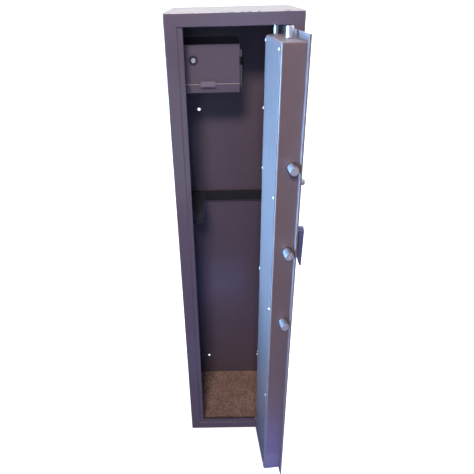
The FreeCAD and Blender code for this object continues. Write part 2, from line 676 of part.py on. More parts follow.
def handle():
    """The outside lever, its spindle and the rose it turns in."""
    at = (SPINDLE_X, SPINDLE_Z)
    y_out, y_in = depths(LEVER_V)
    hub = rod(LEVER_HUB_R, (at[0], y_out, at[1]), (at[0], y_in, at[1]))
    tip_z = SPINDLE_Z - LEVER_REACH + LEVER_TIP_R
    outline = Part.makePolygon(
        [
            V(SPINDLE_X - LEVER_HUB_R, y_out, SPINDLE_Z),
            V(SPINDLE_X - LEVER_TIP_R, y_out, tip_z),
            V(SPINDLE_X + LEVER_TIP_R, y_out, tip_z),
            V(SPINDLE_X + LEVER_HUB_R, y_out, SPINDLE_Z),
            V(SPINDLE_X - LEVER_HUB_R, y_out, SPINDLE_Z),
        ]
    )
    arm = Part.Face(outline).extrude(V(0, y_in - y_out, 0))
    end = rod(LEVER_TIP_R, (SPINDLE_X, y_out, tip_z), (SPINDLE_X, y_in, tip_z))
    lever = fuse([hub, arm, end])
    bevel = Part.Face(
        Part.makePolygon(
            [
                V(SPINDLE_X - 20, y_in, tip_z + 22),
                V(SPINDLE_X - 20, y_out + 3, tip_z - LEVER_TIP_R),
                V(SPINDLE_X - 20, y_in + 3, tip_z - LEVER_TIP_R - 3),
                V(SPINDLE_X - 20, y_in + 3, tip_z + 22),
                V(SPINDLE_X - 20, y_in, tip_z + 22),
            ]
        )
    ).extrude(V(40, 0, 0))
    lever = lever.cut(bevel)
    neck = rod(9.0, (at[0], y_in, at[1]), (at[0], depth(-7), at[1]))
    lever = fuse([lever, neck])
    front = [e for e in lever.Edges if all(abs(p.Point.y - y_out) < 1e-3 for p in e.Vertexes)]
    lever = lever.makeFillet(2.0, front)
    lever = lever.cut(rod(SPINDLE_R, (at[0], y_out + 4, at[1]), (at[0], depth(0), at[1])))
    spindle = rod(SPINDLE_R, (at[0], y_out + 4, at[1]), (at[0], depth(CAM_V[1] + 1.5), at[1]))
    rose = tube(19.0, SPINDLE_R + RUNNING_GAP, (at[0], depth(-6.5), at[1]), (at[0], depth(0), at[1]))
    rose = rose.makeFillet(
        2.5, [e for e in rose.Edges if abs(e.CenterOfMass.y - depth(-6.5)) < 1e-3 and e.BoundBox.XLength > 30]
    )
    return {"handle_lever": lever, "handle_spindle": spindle, "handle_rose": rose}


def key_lock():
    """The key cylinder, its plug with the tail cam, and the case and bolt that block the bar."""
    at_x, at_z = LOCK_X, LOCK_Z

    def along(radius, v0, v1):
        return rod(radius, (at_x, depth(v0), at_z), (at_x, depth(v1), at_z))

    barrel = fuse([along(LOCK_BARREL_R, -LOCK_PROUD, 6), along(13.0, -4, 0)])
    face = depth(-LOCK_PROUD)
    barrel = barrel.makeChamfer(
        1.2, [e for e in barrel.Edges if abs(e.CenterOfMass.y - face) < 1e-3 and e.BoundBox.XLength > 15]
    )
    barrel = barrel.cut(along(LOCK_PLUG_R + RUNNING_GAP, -LOCK_PROUD - 1, 7))
    slot = block((at_x - 1.0, at_x + 1.0), (face - 2, face + 9), (at_z - 4.2, at_z + 4.2))
    reach = LOCK_THROW / (2 * math.sin(math.radians(45)))
    pin_x = at_x - LOCK_THROW / 2
    pin_z = at_z - LOCK_THROW / 2
    plug = fuse(
        [
            along(LOCK_PLUG_R, -LOCK_PROUD - 0.5, 6.4),
            along(reach + 3, 6.4, 9),
            rod(2.0, (pin_x, depth(9), pin_z), (pin_x, depth(13.2), pin_z)),
        ]
    ).cut(slot)
    bolt_v = (9.4, 13.4)
    bolt = block((at_x - 13, at_x + 4), depths(bolt_v), (at_z - 14, at_z + 40))
    bolt = bolt.cut(
        round_slot((at_x - reach - 0.6, pin_x + 0.6), (pin_z,) * 2, 4.8, (bolt_v[0] - 1, bolt_v[1] + 1))
    )
    case_x = (at_x - 20, at_x + 22)
    case_z = (at_z - 30, at_z + 32)
    case = block(case_x, depths((PLATE, 16.0)), case_z)
    hollow = block(
        (case_x[0] + THIN, case_x[1] - THIN), depths((PLATE, 16.0 - THIN)), (case_z[0] + THIN, case_z[1] - THIN)
    )
    mouth = block((at_x - 13.3, at_x + 4.3), depths((bolt_v[0] - 0.3, bolt_v[1] + 0.3)), (at_z, at_z + 60))
    return {
        "key_lock_barrel": barrel,
        "key_lock_plug": plug,
        "lock_bolt": bolt,
        "lock_case": case.cut(hollow).cut(mouth),
    }


def main():
    os.makedirs("parts", exist_ok=True)
    shell = cabinet_shell()
    nodes = {
        **frame_members(front_frame(shell)),
        **cabinet_panels(shell),
        "floor_carpet": floor_carpet(),
        **hinge_brackets(),
        **barrel_rest(),
        **ammo_box(),
        **ammo_door(),
    }
    fixed_knuckles, moving_knuckle, hinge_wire = ammo_hinge()
    nodes["ammo_hinge_leaf_fixed"] = fixed_knuckles
    nodes["ammo_hinge_leaf_moving"] = moving_knuckle
    nodes["ammo_hinge_pin"] = hinge_wire

    on_door = {
        "door_plate": door_plate(),
        "door_hinge_return": door_hinge_return(),
        **casing(),
        **door_hinges(),
        **boltwork_guides(),
        **handle(),
        **key_lock(),
        **bolt_bar(),
        "drive_cam": drive_cam(),
        **end_rods(),
    }
    for name, z in zip(("side_bolt_lower", "side_bolt_middle", "side_bolt_upper"), SIDE_BOLT_Z):
        on_door[name] = side_bolt(z)
    for name, shape in on_door.items():
        shape = shape.copy()
        shape.rotate(V(PIVOT_X, depth(PIVOT_V), 0), V(0, 0, 1), DOOR_OPEN_ANGLE)
        nodes[name] = shape

    for name, shape in sorted(nodes.items()):
        shape.exportStep("parts/" + name + ".step")
        solids = len(shape.Solids)
        print(f"{name:28s} solids {solids}  valid {shape.isValid()}  volume {shape.Volume:12.1f}")
    print(len(nodes), "nodes")


main()
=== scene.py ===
"""Gun safe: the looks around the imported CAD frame.

Metres, in the row frame: +Z up, the front faces -Y, the door stands open on the right.
"""

import json
import math
import random

import bmesh
import bpy
from mathutils import Matrix, Vector, noise


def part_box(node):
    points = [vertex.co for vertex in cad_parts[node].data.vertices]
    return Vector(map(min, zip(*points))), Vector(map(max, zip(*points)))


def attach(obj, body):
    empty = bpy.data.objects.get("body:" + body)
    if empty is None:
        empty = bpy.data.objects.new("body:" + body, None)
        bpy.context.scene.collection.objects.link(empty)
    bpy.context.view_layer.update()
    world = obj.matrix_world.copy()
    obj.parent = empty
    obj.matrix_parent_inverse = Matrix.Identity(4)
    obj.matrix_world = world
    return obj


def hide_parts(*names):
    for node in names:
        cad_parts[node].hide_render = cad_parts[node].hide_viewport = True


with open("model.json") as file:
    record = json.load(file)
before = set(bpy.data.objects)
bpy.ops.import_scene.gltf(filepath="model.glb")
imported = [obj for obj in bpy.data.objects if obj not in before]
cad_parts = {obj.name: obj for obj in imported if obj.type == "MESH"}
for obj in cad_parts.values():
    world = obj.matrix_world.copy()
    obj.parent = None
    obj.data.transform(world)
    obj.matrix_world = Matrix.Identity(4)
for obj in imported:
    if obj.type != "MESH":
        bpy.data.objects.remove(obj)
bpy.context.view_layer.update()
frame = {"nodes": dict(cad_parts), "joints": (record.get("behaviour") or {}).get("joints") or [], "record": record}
nodes = frame["nodes"]
joints = {joint["name"]: joint for joint in frame["joints"]}

# ---- where things are, from the frame ----
CABINET_LOW = Vector((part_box("side_panel_left")[0].x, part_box("frame_rail_top")[0].y, 0.0))
CABINET_HIGH = Vector((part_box("side_panel_right")[1].x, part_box("rear_panel")[1].y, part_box("top_panel")[1].z))
DOOR_PIVOT = Vector(joints["door_hinge"]["pos_m"])
DOOR_OPEN = math.radians(-joints["door_hinge"]["range_deg"][0])

# ---- light of the studio, by side ----
ROOM_FRONT = (0.17, 0.20, 0.29)
ROOM_BACK = (1.6, 1.6, 1.64)
ROOM_LEFT = (0.08, 0.22, 0.60)
ROOM_RIGHT = (0.95, 0.95, 1.0)
ROOM_BELOW = (0.08, 0.10, 0.18)

# each lamp: where it is, where it points, its width and height, its watts, its colour
LAMPS = {
    "key": ((-0.40, -3.5, 3.45), (0.0, 0.0, 1.0), (0.8, 0.56), 88.0, (1.0, 0.88, 0.77)),
    "window": ((-2.4, -0.40, 1.15), (0.19, -0.30, 1.08), (0.7, 0.9), 20.0, (0.26, 0.62, 1.0)),
    "foot_light": ((0.20, -0.47, 0.004), (0.20, -0.47, 1.0), (0.26, 0.2), 0.24, (0.0, 0.17, 1.0)),
    "mat_light": ((0.01, -0.60, 0.004), (0.01, -0.60, 1.0), (0.32, 0.36), 0.7, (0.30, 0.36, 1.0)),
    "fill": ((-0.04, -1.45, 1.64), (0.0, 0.15, 1.2), (0.3, 0.3), 1.0, (0.62, 0.66, 0.95)),
    "card": ((-0.40, -2.4, 0.5), (-0.16, -0.15, 1.1), (0.25, 0.9), 1.8, (0.80, 0.88, 1.0)),
}
WINDOW_SPREAD = math.radians(36)

FLOOR_REACH = 60.0
DOME_RADIUS = 55.0
FLAG_AWAY = 0.145         # from the cabinet's left side out to the flag
FLAG_FORWARD = 0.048      # how far the flag reaches in front of the cabinet
FLAG_BACKWARD = 0.05
FLAG_HEIGHTS = (0.05, 1.6)

# ---- camera ----
CAMERA_AT = (-0.0407, -1.369, 1.559)
CAMERA_TURN = tuple(math.radians(angle) for angle in (-0.58, 28.5, -1.46))    # yaw, pitch down, roll
CAMERA_LENS = 34.49
CAMERA_SHIFT = (0.0405, -0.0134)

# ---- paint colours ----
CABINET_COLOUR = (0.158, 0.117, 0.161)
# pale wear and painted highlight along the cabinet's top folds
CABINET_WEAR_AND_HIGHLIGHT = (0.95, 0.88, 0.90)
CABINET_WEAR_AND_HIGHLIGHT_DEPTH = 0.009    # how far below the cabinet's top its folds get pale wear and a painted highlight
DOOR_COLOUR = (0.225, 0.155, 0.165)
DOOR_WORN = (0.60, 0.60, 0.66)
# painted highlight along the ammo box sill's top edge
SILL_HIGHLIGHT = (0.62, 0.47, 0.47)
SILL_HIGHLIGHT_WIDTH = 0.0026
TAB_TONE = 1.7            # the pull tab's paint catches more light than the rest


# ---- node helpers ----
def colour_socket(sockets, name):
    """The colour socket of that name on a Mix node, which also has number sockets of the same name."""
    return next(s for s in sockets if s.name == name and s.type == "RGBA")


def mix_colours(tree, node, a, b):
    """Feeds both colours of a Mix node and returns its colour output."""
    for name, value in (("A", a), ("B", b)):
        socket = colour_socket(node.inputs, name)
        if isinstance(value, bpy.types.NodeSocket):
            tree.links.new(value, socket)
        else:
            socket.default_value = (*value, 1.0)
    return colour_socket(node.outputs, "Result")


class Graph:
    """A material's nodes, with short calls for the ones used here."""

    def __init__(self, name, **sockets):
        self.material = bpy.data.materials.new(name)
        self.material.use_nodes = True
        self.tree = self.material.node_tree
        self.shader = self.tree.nodes["Principled BSDF"]
        self.coordinates = self.add("TexCoord").outputs["Object"]
        self.set(**sockets)

    @classmethod
    def onto(cls, material):
        """The same calls on a material that is already there."""
        graph = cls.__new__(cls)
        graph.material = material
        graph.tree = material.node_tree
        graph.shader = graph.tree.nodes["Principled BSDF"]
        graph.coordinates = graph.add("TexCoord").outputs["Object"]
        return graph

    def add(self, kind, inputs=None, **settings):
        made = self.tree.nodes.new("ShaderNode" + kind)
        for key, value in settings.items():
            setattr(made, key, value)
        for key, value in (inputs or {}).items():
            self.feed(made, key, value)
        return made

    def feed(self, node, key, value):
        socket = node.inputs[key]
        if isinstance(value, bpy.types.NodeSocket):
            self.tree.links.new(value, socket)
        else:
            socket.default_value = value

    def set(self, **sockets):
        """Shader sockets by name, with underscores for spaces."""
        for key, value in sockets.items():
            self.feed(self.shader, key.replace("_", " "), value)

    def mapped(self, scale=(1, 1, 1), turn=0.0, shift=(0, 0, 0), vector=None):
        source = self.coordinates if vector is None else vector
        inputs = {"Vector": source, "Scale": scale, "Location": shift, "Rotation": (0, 0, turn)}
        return self.add("Mapping", inputs).outputs["Vector"]

    def noise(self, scale, detail=2.0, rough=0.5, vector=None, distortion=0.0):
        source = self.coordinates if vector is None else vector
        inputs = {"Vector": source, "Scale": scale, "Detail": detail, "Roughness": rough}
        inputs["Distortion"] = distortion
        return self.add("TexNoise", inputs).outputs["Fac"]

    def cells(self, scale, vector=None, feature="F1", output="Distance"):
        source = self.coordinates if vector is None else vector
        made = self.add("TexVoronoi", {"Vector": source, "Scale": scale}, feature=feature)
        return made.outputs[output]

    def steps(self, value, low, high, to_low=0.0, to_high=1.0):
        """A smooth step of value between low and high."""
        made = self.add(
            "MapRange",
            {"Value": value, "From Min": low, "From Max": high, "To Min": to_low, "To Max": to_high},
            interpolation_type="SMOOTHSTEP",
        )
        return made.outputs["Result"]

    def maths(self, operation, a, b=0.0):
        made = self.add("Math", operation=operation)
        self.feed(made, 0, a)
        self.feed(made, 1, b)
        return made.outputs[0]

    def mix(self, factor, a, b, blend="MIX"):
        made = self.add("Mix", data_type="RGBA", blend_type=blend)
        self.feed(made, "Factor", factor)
        return mix_colours(self.tree, made, a, b)

    def axis(self, name, vector=None):
        source = self.coordinates if vector is None else vector
        return self.add("SeparateXYZ", {"Vector": source}).outputs[name]

    def bump(self, height, strength, distance, under=None):
        inputs = {"Height": height, "Strength": strength, "Distance": distance}
        if under is not None:
            inputs["Normal"] = under
        return self.add("Bump", inputs).outputs["Normal"]


def closed_door_coordinates(graph):
    """Object coordinates turned back to the closed door's own axes, about its pivot."""
    moved = graph.mapped(shift=(-DOOR_PIVOT.x, -DOOR_PIVOT.y, 0.0))
    turned = graph.mapped(turn=-DOOR_OPEN, vector=moved)
    return graph.mapped(shift=(DOOR_PIVOT.x, DOOR_PIVOT.y, 0.0), vector=turned)


def fold_mask(graph, vector, low, high, reach):
    """1 along the outer folds of a box, fading to 0 within reach of them."""
    near = []
    for name, a, b in zip("XYZ", low, high):
        along = graph.axis(name, vector)
        centre = (a + b) / 2
        half = abs(b - a) / 2
        off = graph.maths("ABSOLUTE", graph.maths("SUBTRACT", along, centre))
        near.append(graph.steps(off, half - reach, half - reach * 0.15))
    xy = graph.maths("MULTIPLY", near[0], near[1])
    yz = graph.maths("MULTIPLY", near[1], near[2])
    xz = graph.maths("MULTIPLY", near[0], near[2])
    return graph.maths("MAXIMUM", xy, graph.maths("MAXIMUM", yz, xz))


# ---- paints ----
def enamel(name, colour, wear_and_highlight_colour, vector_of, box, roughness, coat, coat_roughness, pale_marks=0.6, wear_and_highlight_from=-1.0):
    """Sprayed enamel on sheet steel: fine texture, faint runs and dust, every fold a little paler from thin paint
    and a painted highlight, and pale wear with a painted highlight along the folds high up.
    """
    graph = Graph(
        name,
        Coat_Weight=coat,
        Coat_Roughness=coat_roughness,
        Coat_IOR=1.5,
        Specular_IOR_Level=0.5,
    )
    vector = vector_of(graph)
    broad = graph.steps(graph.noise(2.2, 3.0, 0.55), 0.3, 0.7)
    fine = graph.noise(60.0, 4.0, 0.6)
    streaks = graph.noise(1.0, 3.0, 0.6, graph.mapped(scale=(26.0, 26.0, 1.6)))
    darker = tuple(c * 0.90 for c in colour)
    lighter = tuple(min(1.0, c * 1.08) for c in colour)
    base = graph.mix(broad, darker, lighter)
    speckle = graph.steps(fine, 0.35, 0.7)
    base = graph.mix(graph.maths("MULTIPLY", speckle, 0.25), base, tuple(c * 0.82 for c in colour))
    low, high = box
    folds = fold_mask(graph, vector, low, high, 0.0035)
    # Pale wear and painted highlight along the folds high up, in broken patches.
    patchy = graph.steps(graph.noise(38.0, 5.0, 0.7), 0.34, 0.52)
    high_up = graph.steps(graph.axis("Z", vector), wear_and_highlight_from, wear_and_highlight_from + 0.004, 0.0, pale_marks)
    wear_and_highlight_mask = graph.maths("MULTIPLY", graph.maths("MULTIPLY", folds, patchy), high_up)
    # Every fold a little paler: thinner paint there and a painted highlight.
    base = graph.mix(graph.maths("MULTIPLY", folds, 0.25), base, tuple(min(1.0, c * 1.5) for c in colour))
    # The pale wear and painted highlight go on here.
    base = graph.mix(wear_and_highlight_mask, base, wear_and_highlight_colour)
    graph.set(Base_Color=base)
    rough = graph.steps(streaks, 0.25, 0.75, roughness - 0.03, roughness + 0.03)
    graph.set(Roughness=rough)
    grain = graph.cells(420.0, feature="SMOOTH_F1")
    peel = graph.noise(170.0, 2.0, 0.5)
    panel = graph.noise(1.0, 1.0, 0.4, graph.mapped(scale=(9.0, 9.0, 3.0)))
    normal = graph.bump(panel, 0.05, 0.004)
    normal = graph.bump(peel, 0.12, 0.0006, normal)
    normal = graph.bump(grain, 0.10, 0.0004, normal)
    graph.set(Normal=normal)
    return graph.material


def cabinet_vector(graph):
    return graph.coordinates


def cabinet_paint(name="cabinet_enamel", tone=1.0):
    return enamel(
        name, tuple(tone * c for c in CABINET_COLOUR), CABINET_WEAR_AND_HIGHLIGHT, cabinet_vector,
        (CABINET_LOW, CABINET_HIGH), roughness=0.42, coat=0.35, coat_roughness=0.16,
        pale_marks=0.95, wear_and_highlight_from=CABINET_HIGH.z - CABINET_WEAR_AND_HIGHLIGHT_DEPTH,
    )


def painted_top_highlight(paint, height, reach, colour):
    """Paints a pale highlight onto a piece's colour along its top edge, in broken patches."""
    tree = paint.node_tree
    shader = tree.nodes["Principled BSDF"]
    under = shader.inputs["Base Color"].links[0].from_socket
    graph = Graph.onto(paint)
    line = graph.steps(graph.axis("Z"), height - reach, height - reach * 0.6, 0.0, 0.85)
    patchy = graph.steps(graph.noise(60.0, 3.0, 0.6), 0.3, 0.5, 0.45, 1.0)
    mixed = graph.mix(graph.maths("MULTIPLY", line, patchy), (0.0, 0.0, 0.0), colour)
    tree.links.new(under, colour_socket(mixed.node.inputs, "A"))
    tree.links.new(mixed, shader.inputs["Base Color"])
    return paint


def door_paint(name, low, high):
    return enamel(
        name, DOOR_COLOUR, DOOR_WORN, closed_door_coordinates,
        (low, high), roughness=0.38, coat=0.3, coat_roughness=0.14, pale_marks=0.05,
    )


# ---- bare metals ----
def metal(name, colour, roughness, brush, tint=0.12, grain=0.3, metallic=1.0):
    """Plated or turned steel: brush is the scale along each axis, long where it is small."""
    graph = Graph(name, Metallic=metallic)
    lines = graph.noise(1.0, 4.0, 0.6, graph.mapped(scale=brush))
    stain = graph.steps(graph.noise(30.0, 4.0, 0.6), 0.35, 0.75)
    dark = tuple(c * (1.0 - 2.0 * tint) for c in colour)
    base = graph.mix(graph.maths("MULTIPLY", stain, 0.6), colour, dark)
    graph.set(Base_Color=base, Roughness=graph.steps(lines, 0.3, 0.7, roughness * 0.75, roughness * 1.35))
    graph.set(Normal=graph.bump(lines, grain, 0.0003))
    return graph.material


def turned_bolt(name, axis_y_z):
    """Bright turned bar with tool rings on its end, spaced out from its axis; painted shade darkens it from the
    end's rim outward and down its sides.
    """
    graph = Graph(name, Metallic=0.7)
    vector = closed_door_coordinates(graph)
    y, z = axis_y_z
    out_y = graph.maths("SUBTRACT", graph.axis("Y", vector), y)
    out_z = graph.maths("SUBTRACT", graph.axis("Z", vector), z)
    squares = graph.maths("ADD", graph.maths("POWER", out_y, 2.0), graph.maths("POWER", out_z, 2.0))
    radius = graph.maths("SQRT", squares)
    rings = graph.maths("SINE", graph.maths("MULTIPLY", radius, 9000.0))
    scratches = graph.noise(1.0, 4.0, 0.6, graph.mapped(scale=(40.0, 900.0, 900.0), vector=vector))
    base = graph.mix(graph.steps(scratches, 0.35, 0.7), (0.92, 0.85, 0.93), (0.74, 0.68, 0.76))
    # painted shade: the bar darker from the end face's rim outward and along its sides
    base = graph.mix(graph.steps(radius, 0.0082, 0.0102, 0.0, 0.62), base, (0.22, 0.20, 0.26))
    graph.set(Base_Color=base, Roughness=graph.steps(scratches, 0.3, 0.7, 0.34, 0.50))
    graph.set(Normal=graph.bump(rings, 0.12, 0.0002, graph.bump(scratches, 0.15, 0.0002)))
    return graph.material


def bare_metals():
    return {
        "zinc": metal("zinc_plate", (0.62, 0.61, 0.57), 0.42, (120.0, 120.0, 14.0)),
        "brown": metal("browned_steel", (0.26, 0.23, 0.21), 0.50, (140.0, 140.0, 30.0)),
        "nickel": metal(
            "nickel_plate", (0.88, 0.86, 0.93), 0.30, (300.0, 300.0, 60.0),
            tint=0.06, grain=0.15, metallic=0.7,
        ),
        "bronze": metal("oiled_bronze", (0.20, 0.11, 0.06), 0.38, (200.0, 200.0, 200.0), tint=0.2),
        "bezel": metal("black_nickel", (0.10, 0.10, 0.11), 0.30, (300.0, 300.0, 60.0), tint=0.1, grain=0.15),
        # near black: partly the moving leaf's and pin's own finish, partly painted shade on the middle knuckle
        "black": metal("black_steel_with_painted_shade", (0.045, 0.040, 0.042), 0.50, (140.0, 140.0, 30.0)),
    }


# ---- other finishes ----
def rivet_finish():
    graph = Graph("white_rivet_coat", Coat_Weight=0.6, Coat_Roughness=0.12, Metallic=0.0)
    chips = graph.steps(graph.noise(420.0, 3.0, 0.6), 0.62, 0.70)
    graph.set(Base_Color=graph.mix(chips, (0.86, 0.87, 0.92), (0.48, 0.48, 0.50)))
    graph.set(Roughness=graph.steps(graph.noise(160.0), 0.3, 0.7, 0.22, 0.38))
    graph.set(Normal=graph.bump(graph.noise(500.0), 0.15, 0.0002))
    return graph.material


def handle_finish():
    graph = Graph("handle_enamel", Coat_Weight=0.8, Coat_Roughness=0.08, Coat_IOR=1.5)
    pale_marks = graph.steps(graph.noise(70.0, 5.0, 0.65), 0.58, 0.72)
    base = graph.mix(graph.steps(graph.noise(14.0), 0.35, 0.7), (0.11, 0.115, 0.26), (0.15, 0.16, 0.36))
    graph.set(Base_Color=graph.mix(graph.maths("MULTIPLY", pale_marks, 0.35), base, (0.22, 0.22, 0.30)))
    graph.set(Roughness=graph.steps(graph.noise(40.0), 0.3, 0.7, 0.25, 0.42))
    graph.set(Normal=graph.bump(graph.noise(260.0, 2.0), 0.15, 0.0004))
    return graph.material


def carpet_finish():
    """Needle-punched brown carpet with dark and pale flecks."""
    graph = Graph("carpet_pile", Sheen_Weight=0.35, Sheen_Roughness=0.5, Sheen_Tint=(0.75, 0.6, 0.55, 1.0))
    patches = graph.steps(graph.noise(22.0, 3.0, 0.6), 0.3, 0.7)
    base = graph.mix(patches, (0.36, 0.215, 0.175), (0.50, 0.32, 0.26))
    flecks = graph.steps(graph.noise(210.0, 2.0, 0.6), 0.54, 0.66)
    dark = graph.steps(graph.noise(180.0, 2.0, 0.6, graph.mapped(shift=(3.1, 1.7, 0.4))), 0.50, 0.62)
    base = graph.mix(graph.maths("MULTIPLY", dark, 0.6), base, (0.06, 0.036, 0.034))
    base = graph.mix(graph.maths("MULTIPLY", flecks, 0.5), base, (0.88, 0.68, 0.60))
    graph.set(Base_Color=base, Roughness=graph.steps(flecks, 0.0, 1.0, 0.86, 0.97))
    graph.set(Normal=graph.bump(graph.noise(700.0, 3.0, 0.7), 0.5, 0.0012))
    return graph.material


def foam_finish():
    """Felt-faced closed-cell foam, nearly black."""
    graph = Graph("rest_foam_felt", Sheen_Weight=0.3, Sheen_Roughness=0.45, Sheen_Tint=(0.6, 0.6, 0.7, 1.0))
    lint = graph.steps(graph.noise(240.0, 4.0, 0.7), 0.56, 0.72)
    broad = graph.steps(graph.noise(9.0, 3.0), 0.3, 0.7)
    base = graph.mix(broad, (0.015, 0.015, 0.024), (0.024, 0.023, 0.034))
    graph.set(Base_Color=graph.mix(graph.maths("MULTIPLY", lint, 0.35), base, (0.11, 0.10, 0.11)))
    graph.set(Roughness=graph.steps(lint, 0.0, 1.0, 0.88, 0.97))
    pores = graph.cells(520.0)
    graph.set(Normal=graph.bump(pores, 0.4, 0.0008, graph.bump(graph.noise(90.0), 0.3, 0.001)))
    return graph.material


# ---- new pieces ----
def new_object(name, mesh_builder, material, smooth=False):
    mesh = bpy.data.meshes.new(name)
    builder = bmesh.new()
    mesh_builder(builder)
    bmesh.ops.recalc_face_normals(builder, faces=builder.faces)
    builder.to_mesh(mesh)
    builder.free()
    for polygon in mesh.polygons:
        polygon.use_smooth = smooth
    made = bpy.data.objects.new(name, mesh)
    bpy.context.scene.collection.objects.link(made)
    mesh.materials.append(material)
    return made


CARPET_PITCH = 0.0022
CARPET_TUFT = 0.0022      # how far the tufts' tips stand above the backing between them
CARPET_NOTCH_GAP = 0.012  # from the door's spacer to the carpet's notch
CARPET_SEED = 11


def build_carpet(material):
    """A cut piece of carpet: a field of small leaning tufts, notched round the door's spacer."""
    low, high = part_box("floor_carpet")
    spacer_low, spacer_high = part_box("hinge_spacer")
    notch = Vector((spacer_low.x - CARPET_NOTCH_GAP, spacer_high.y + CARPET_NOTCH_GAP))
    draw = random.Random(CARPET_SEED)
    count_x = round((high.x - low.x) / CARPET_PITCH)
    count_y = round((high.y - low.y) / CARPET_PITCH)
    step_x = (high.x - low.x) / count_x
    step_y = (high.y - low.y) / count_y

    def fill(builder):
        valley = high.z - CARPET_TUFT
        grid = {}

        def corner(i, j):
            if (i, j) not in grid:
                x = low.x + i * step_x
                y = low.y + j * step_y
                inside = 0 < i < count_x and 0 < j < count_y
                shake = 0.35 * CARPET_PITCH if inside else 0.0
                grid[i, j] = builder.verts.new(
                    (
                        x + draw.uniform(-shake, shake),
                        y + draw.uniform(-shake, shake),
                        valley - draw.uniform(0.0, 0.0008),
                    )
                )
            return grid[i, j]

        for i in range(count_x):
            for j in range(count_y):
                x = low.x + (i + 0.5) * step_x
                y = low.y + (j + 0.5) * step_y
                if x > notch.x and y < notch.y:
                    continue
                ring = [corner(i, j), corner(i + 1, j), corner(i + 1, j + 1), corner(i, j + 1)]
                swell = noise.noise(Vector((x * 30.0, y * 30.0, 0.0))) * 0.0006
                tip = builder.verts.new(
                    (
                        x + draw.uniform(-0.4, 0.4) * CARPET_PITCH,
                        y + draw.uniform(-0.4, 0.4) * CARPET_PITCH,
                        min(high.z, valley + CARPET_TUFT * draw.uniform(0.35, 1.0) + swell),
                    )
                )
                for k in range(4):
                    builder.faces.new((ring[k], ring[(k + 1) % 4], tip))
        border = [e for e in builder.edges if len(e.link_faces) == 1]
        lowered = {}
        for edge in border:
            for vert in edge.verts:
                if vert not in lowered:
                    lowered[vert] = builder.verts.new((vert.co.x, vert.co.y, low.z))
            a, b = edge.verts
            builder.faces.new((a, b, lowered[b], lowered[a]))
        rim = [e for e in builder.edges if len(e.link_faces) == 1]
        bmesh.ops.contextual_create(builder, geom=rim)

    made = new_object("carpet_sheet", fill, material)
    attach(made, "cabinet")
    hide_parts("floor_carpet")
    return made


PAD_VOXEL = 0.0022
PAD_DIMPLE = 0.0006
NOTCH_RADIUS = 0.011
NOTCH_CENTRE = (0.006, 0.014)     # from the pad's inner front corner
NOTCH_STEPS = 8


def plain_outline(low, high):
    corners = ((low.x, low.y), (high.x, low.y), (high.x, high.y), (low.x, high.y))
    return [Vector(corner) for corner in corners]


def build_pad(node, material, hollow=None):
    """A foam pad cut to its CAD block: soft corners, faintly dimpled faces, and a cut notch if it has one."""
    low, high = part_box(node)

    def fill(builder):
        outline = (hollow or plain_outline)(low, high)
        bottom = [builder.verts.new((p.x, p.y, low.z)) for p in outline]
        face = builder.faces.new(bottom)
        raised = bmesh.ops.extrude_face_region(builder, geom=[face])
        tops = [v for v in raised["geom"] if isinstance(v, bmesh.types.BMVert)]
        for vert in tops:
            vert.co.z = high.z

    made = new_object(node.replace("foam", "pad"), fill, material, smooth=True)
    remesh = made.modifiers.new("even_cells", "REMESH")
    remesh.mode = "VOXEL"
    remesh.voxel_size = PAD_VOXEL
    remesh.use_smooth_shade = True
    smooth = made.modifiers.new("soft_corners", "SMOOTH")
    smooth.factor = 0.5
    smooth.iterations = 6
    texture = bpy.data.textures.new(node + "_dimples", "CLOUDS")
    texture.noise_scale = 0.03
    dimples = made.modifiers.new("dimples", "DISPLACE")
    dimples.texture = texture
    dimples.texture_coords = "GLOBAL"
    dimples.strength = PAD_DIMPLE
    dimples.mid_level = 0.9
    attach(made, "cabinet")
    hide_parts(node)
    return made


def notched_outline(low, high):
    """The left pad's outline with the round barrel notch in its inner edge."""
    centre = Vector((high.x + NOTCH_CENTRE[0], low.y + NOTCH_CENTRE[1]))
    reach = math.acos((centre.x - high.x) / NOTCH_RADIUS)
    outline = [Vector((low.x, low.y)), Vector((high.x, low.y))]
    for k in range(NOTCH_STEPS + 1):
        angle = math.pi + reach - 2 * reach * k / NOTCH_STEPS
        outline.append(centre + NOTCH_RADIUS * Vector((math.cos(angle), math.sin(angle))))
    outline += [Vector((high.x, high.y)), Vector((low.x, high.y))]
    return outline


# ---- finishes onto CAD nodes ----
def finish_node(name, material):
    piece = nodes[name]
    piece.data.materials.clear()
    piece.data.materials.append(material)


def closed_box(name):
    """A door node's box in the closed door's axes."""
    turn = Matrix.Rotation(-DOOR_OPEN, 3, "Z")
    points = [turn @ (v.co - DOOR_PIVOT) + DOOR_PIVOT for v in nodes[name].data.vertices]
    low = Vector(min(p[i] for p in points) for i in range(3))
    high = Vector(max(p[i] for p in points) for i in range(3))
    return low, high


